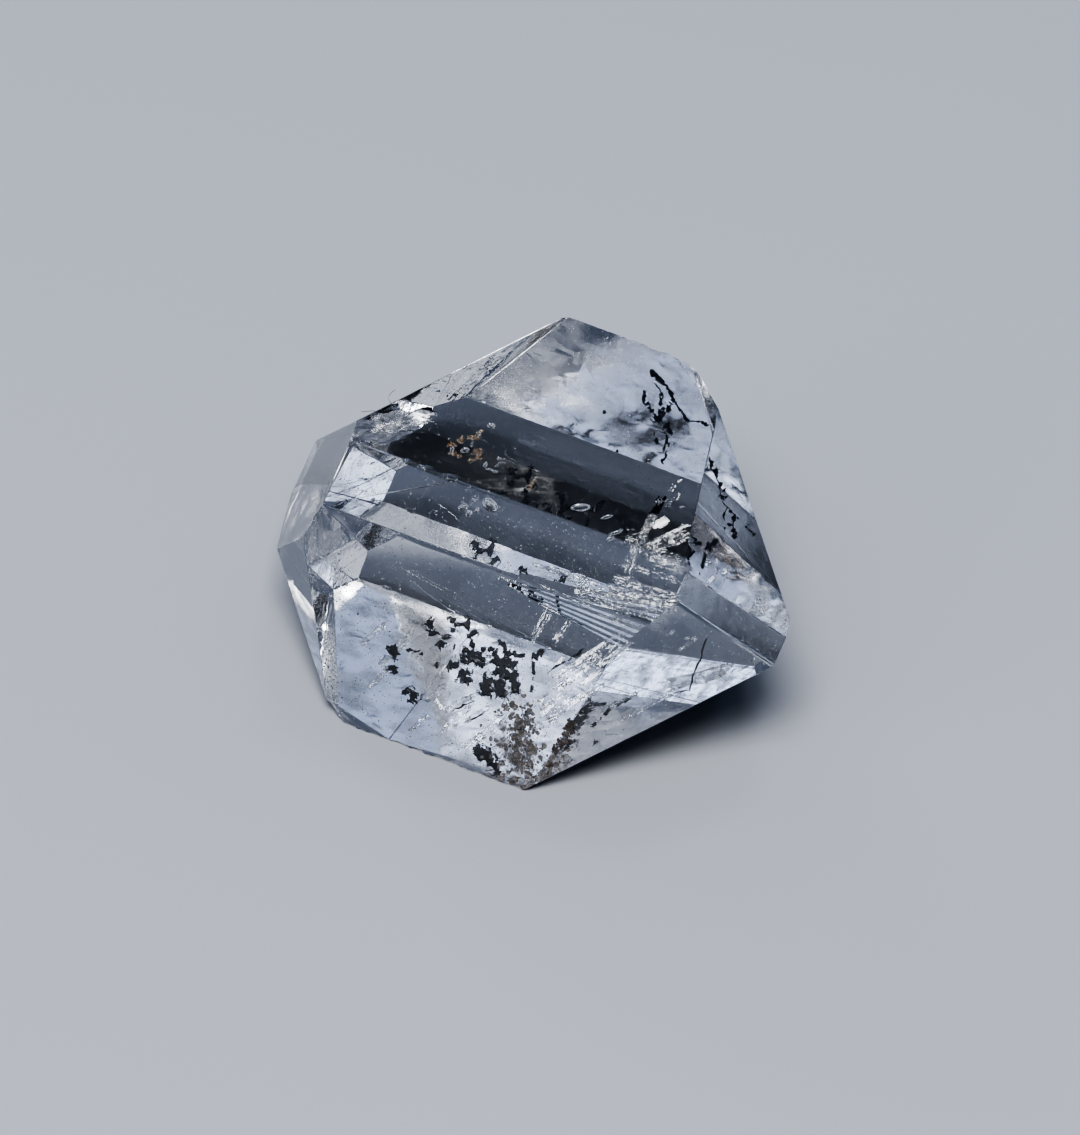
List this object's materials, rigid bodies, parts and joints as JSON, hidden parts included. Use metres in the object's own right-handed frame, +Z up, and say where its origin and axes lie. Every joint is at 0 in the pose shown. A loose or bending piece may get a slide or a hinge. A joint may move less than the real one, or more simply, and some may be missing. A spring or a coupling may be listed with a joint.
{
  "type": "herkimer diamond quartz crystal",
  "caption": "Clear, flat-faced quartz crystal, pointed at both ends and stretched sideways, with chipped edges and growth ledges, lying on its largest face.",
  "frame": {"origin": "centre of the bounding box on the surface that the crystal lies on, z = 0", "axes": "+Z up, out of the top rhombohedral face; +X along the long horizontal edges of the prism and rhombohedral faces; +Y to the back"},
  "size_m": [0.0202, 0.0146, 0.0093],
  "materials": {
    "quartz": "glass-clear, glossy faces"
  },
  "bodies": {
    "root": {"crystal": "quartz"}
  },
  "joints": []
}
